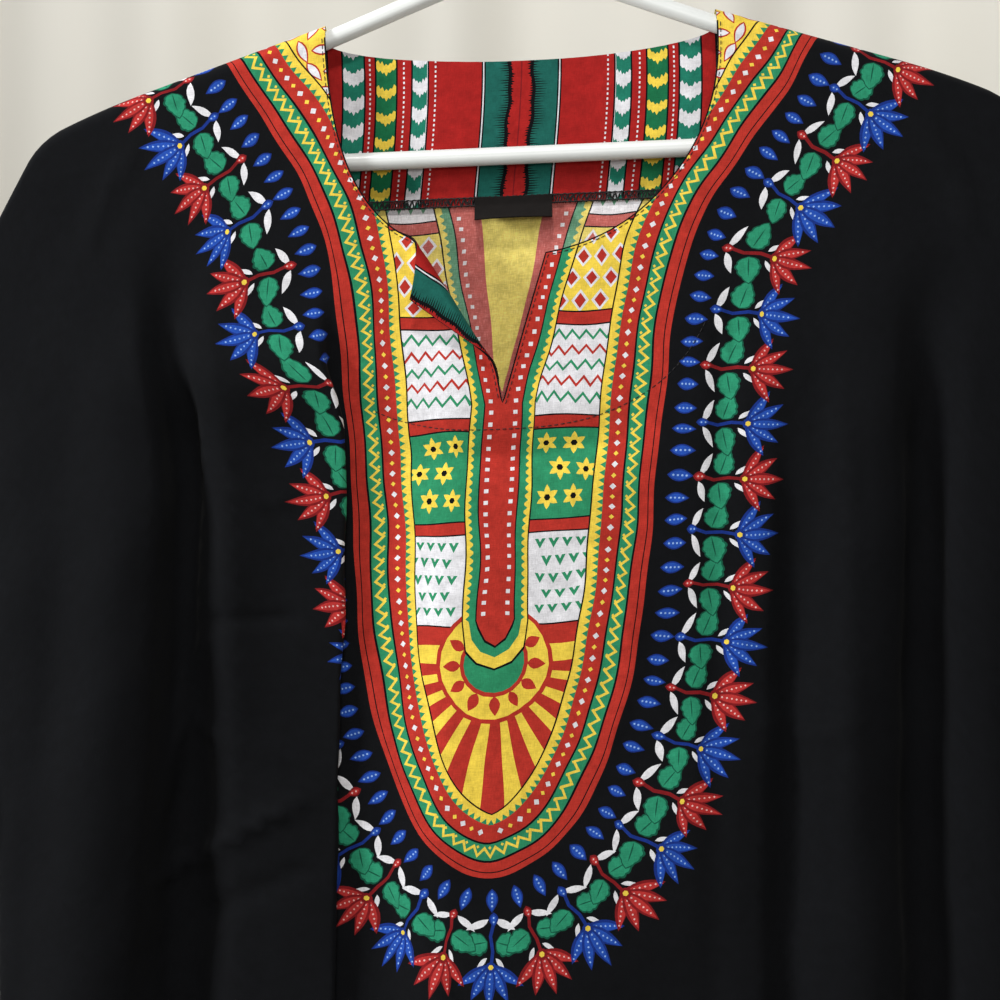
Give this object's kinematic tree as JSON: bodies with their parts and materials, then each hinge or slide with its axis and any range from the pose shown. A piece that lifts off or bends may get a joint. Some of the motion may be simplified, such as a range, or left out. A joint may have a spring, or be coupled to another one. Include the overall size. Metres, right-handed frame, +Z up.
{
  "type": "dashiki shirt on a hanger",
  "caption": "Loose black cotton dashiki shirt with a slit round neck, open short sleeves and a printed neck yoke, hung on a white tubular hanger.",
  "frame": {"origin": "the point inside the top of the hanger's hook that rests on a rail", "axes": "+Z up, -Y the way the shirt's front faces, +X to the right as seen from the front"},
  "size_m": [0.7722, 0.0717, 0.8952],
  "materials": {
    "printed_cotton": "plain weave black cotton with a bright placement print",
    "facing_cotton": "plain weave red cotton with stripes",
    "label_woven": "bare black woven label",
    "hanger_plastic": "glossy white moulded tube"
  },
  "bodies": {
    "root": {"front": "printed_cotton", "back": "printed_cotton", "sleeve_left": "printed_cotton", "sleeve_right": "printed_cotton", "front_neck_facing": "facing_cotton", "back_neck_facing": "facing_cotton", "neck_label": "label_woven", "hanger_arm_left": "hanger_plastic", "hanger_arm_right": "hanger_plastic", "hanger_bar": "hanger_plastic", "hanger_hook": "hanger_plastic"}
  },
  "joints": []
}
